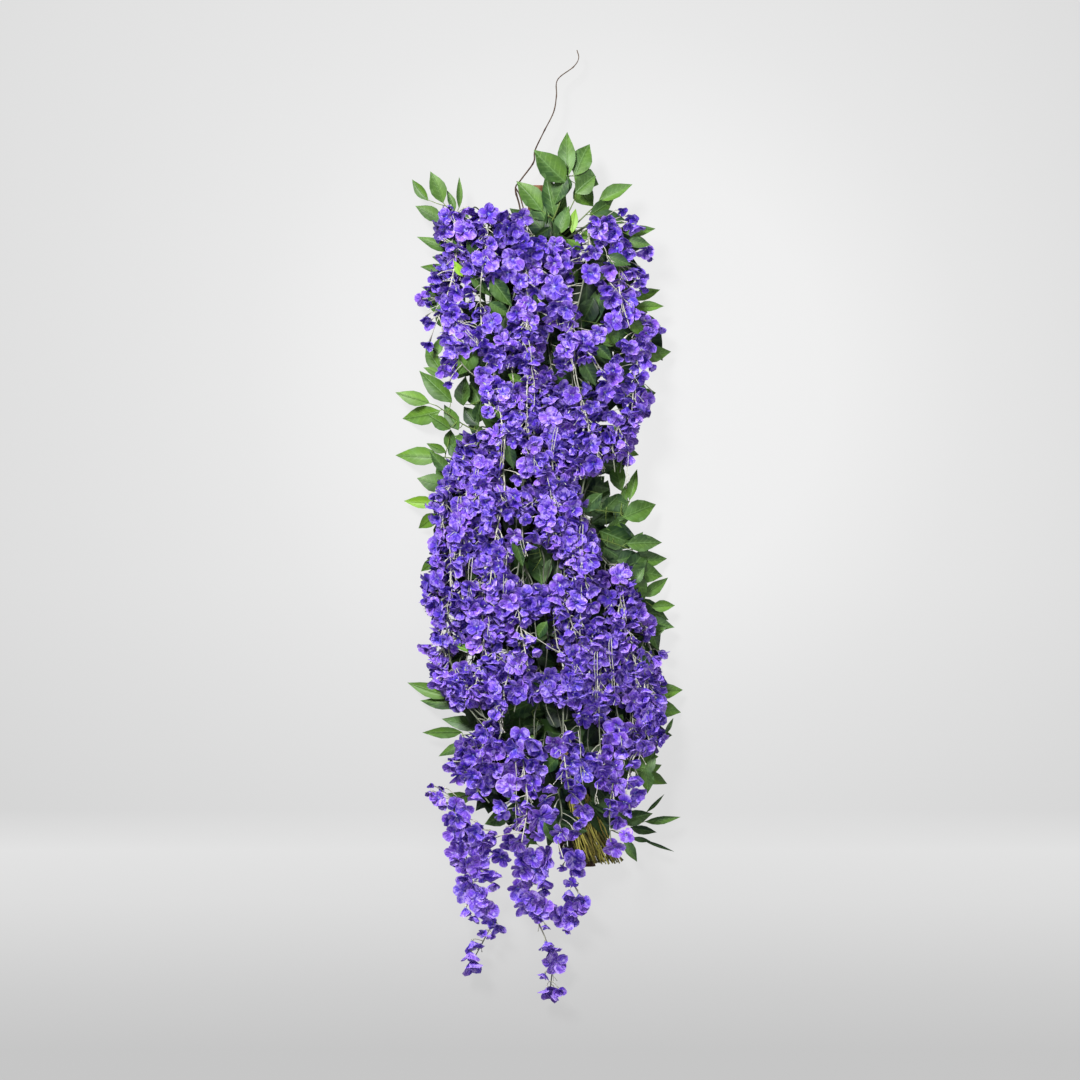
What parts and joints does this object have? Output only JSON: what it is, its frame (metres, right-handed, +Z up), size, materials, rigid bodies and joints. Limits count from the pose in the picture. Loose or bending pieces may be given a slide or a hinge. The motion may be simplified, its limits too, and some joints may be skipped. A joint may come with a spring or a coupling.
{
  "type": "wisteria bunch",
  "caption": "Long bunch of four-petalled wisteria racemes and leafy stems tied with twine to a crooked wooden pole, lying on its back.",
  "frame": {"origin": "on the flat underside of the pole, near the middle of its length, where it lies on the surface", "axes": "+Y along the pole towards the top of the bunch, +Z up out of the surface towards the flowers, +X to the right of someone looking down on the flowers with the top away from them"},
  "size_m": [0.4843, 1.6158, 0.1513],
  "materials": {
    "bark": "rough bark",
    "dark_bark": "smooth bark",
    "twine": "natural fibre",
    "cut_stem": "matt",
    "leaf": "satin",
    "leaf_dark": "satin",
    "petal": "matt"
  },
  "bodies": {
    "root": {"cut_stems": "cut_stem", "leaves_foot_dark": "leaf_dark", "leaves_foot_left": "leaf_dark", "leaves_inner_lower": "leaf_dark", "leaves_inner_middle": "leaf_dark", "leaves_inner_upper": "leaf_dark", "leaves_left_foot": "leaf", "leaves_left_lower": "leaf", "leaves_left_middle": "leaf", "leaves_left_upper": "leaf", "leaves_left_waist": "leaf", "leaves_right_foot": "leaf", "leaves_right_lower": "leaf", "leaves_right_middle": "leaf", "leaves_right_upper": "leaf", "leaves_right_waist": "leaf", "leaves_top": "leaf", "leaves_top_left": "leaf", "leaves_top_right": "leaf", "pole": "bark", "raceme_01": "petal", "raceme_02": "petal", "raceme_03": "petal", "raceme_04": "petal", "raceme_05": "petal", "raceme_06": "petal", "raceme_07": "petal", "raceme_08": "petal", "raceme_09": "petal", "raceme_10": "petal", "raceme_11": "petal", "raceme_12": "petal", "raceme_13": "petal", "raceme_14": "petal", "raceme_15": "petal", "raceme_16": "petal", "raceme_17": "petal", "raceme_18": "petal", "raceme_19": "petal", "raceme_20": "petal", "raceme_21": "petal", "raceme_22": "petal", "raceme_23": "petal", "raceme_24": "petal", "raceme_25": "petal", "raceme_26": "petal", "raceme_27": "petal", "raceme_28": "petal", "raceme_29": "petal", "raceme_30": "petal", "raceme_31": "petal", "raceme_32": "petal", "raceme_33": "petal", "tendril": "dark_bark", "twine_band_1": "twine", "twine_band_2": "twine", "twine_band_3": "twine", "twine_band_4": "twine", "vine_left": "dark_bark", "vine_right": "dark_bark"}
  },
  "joints": []
}
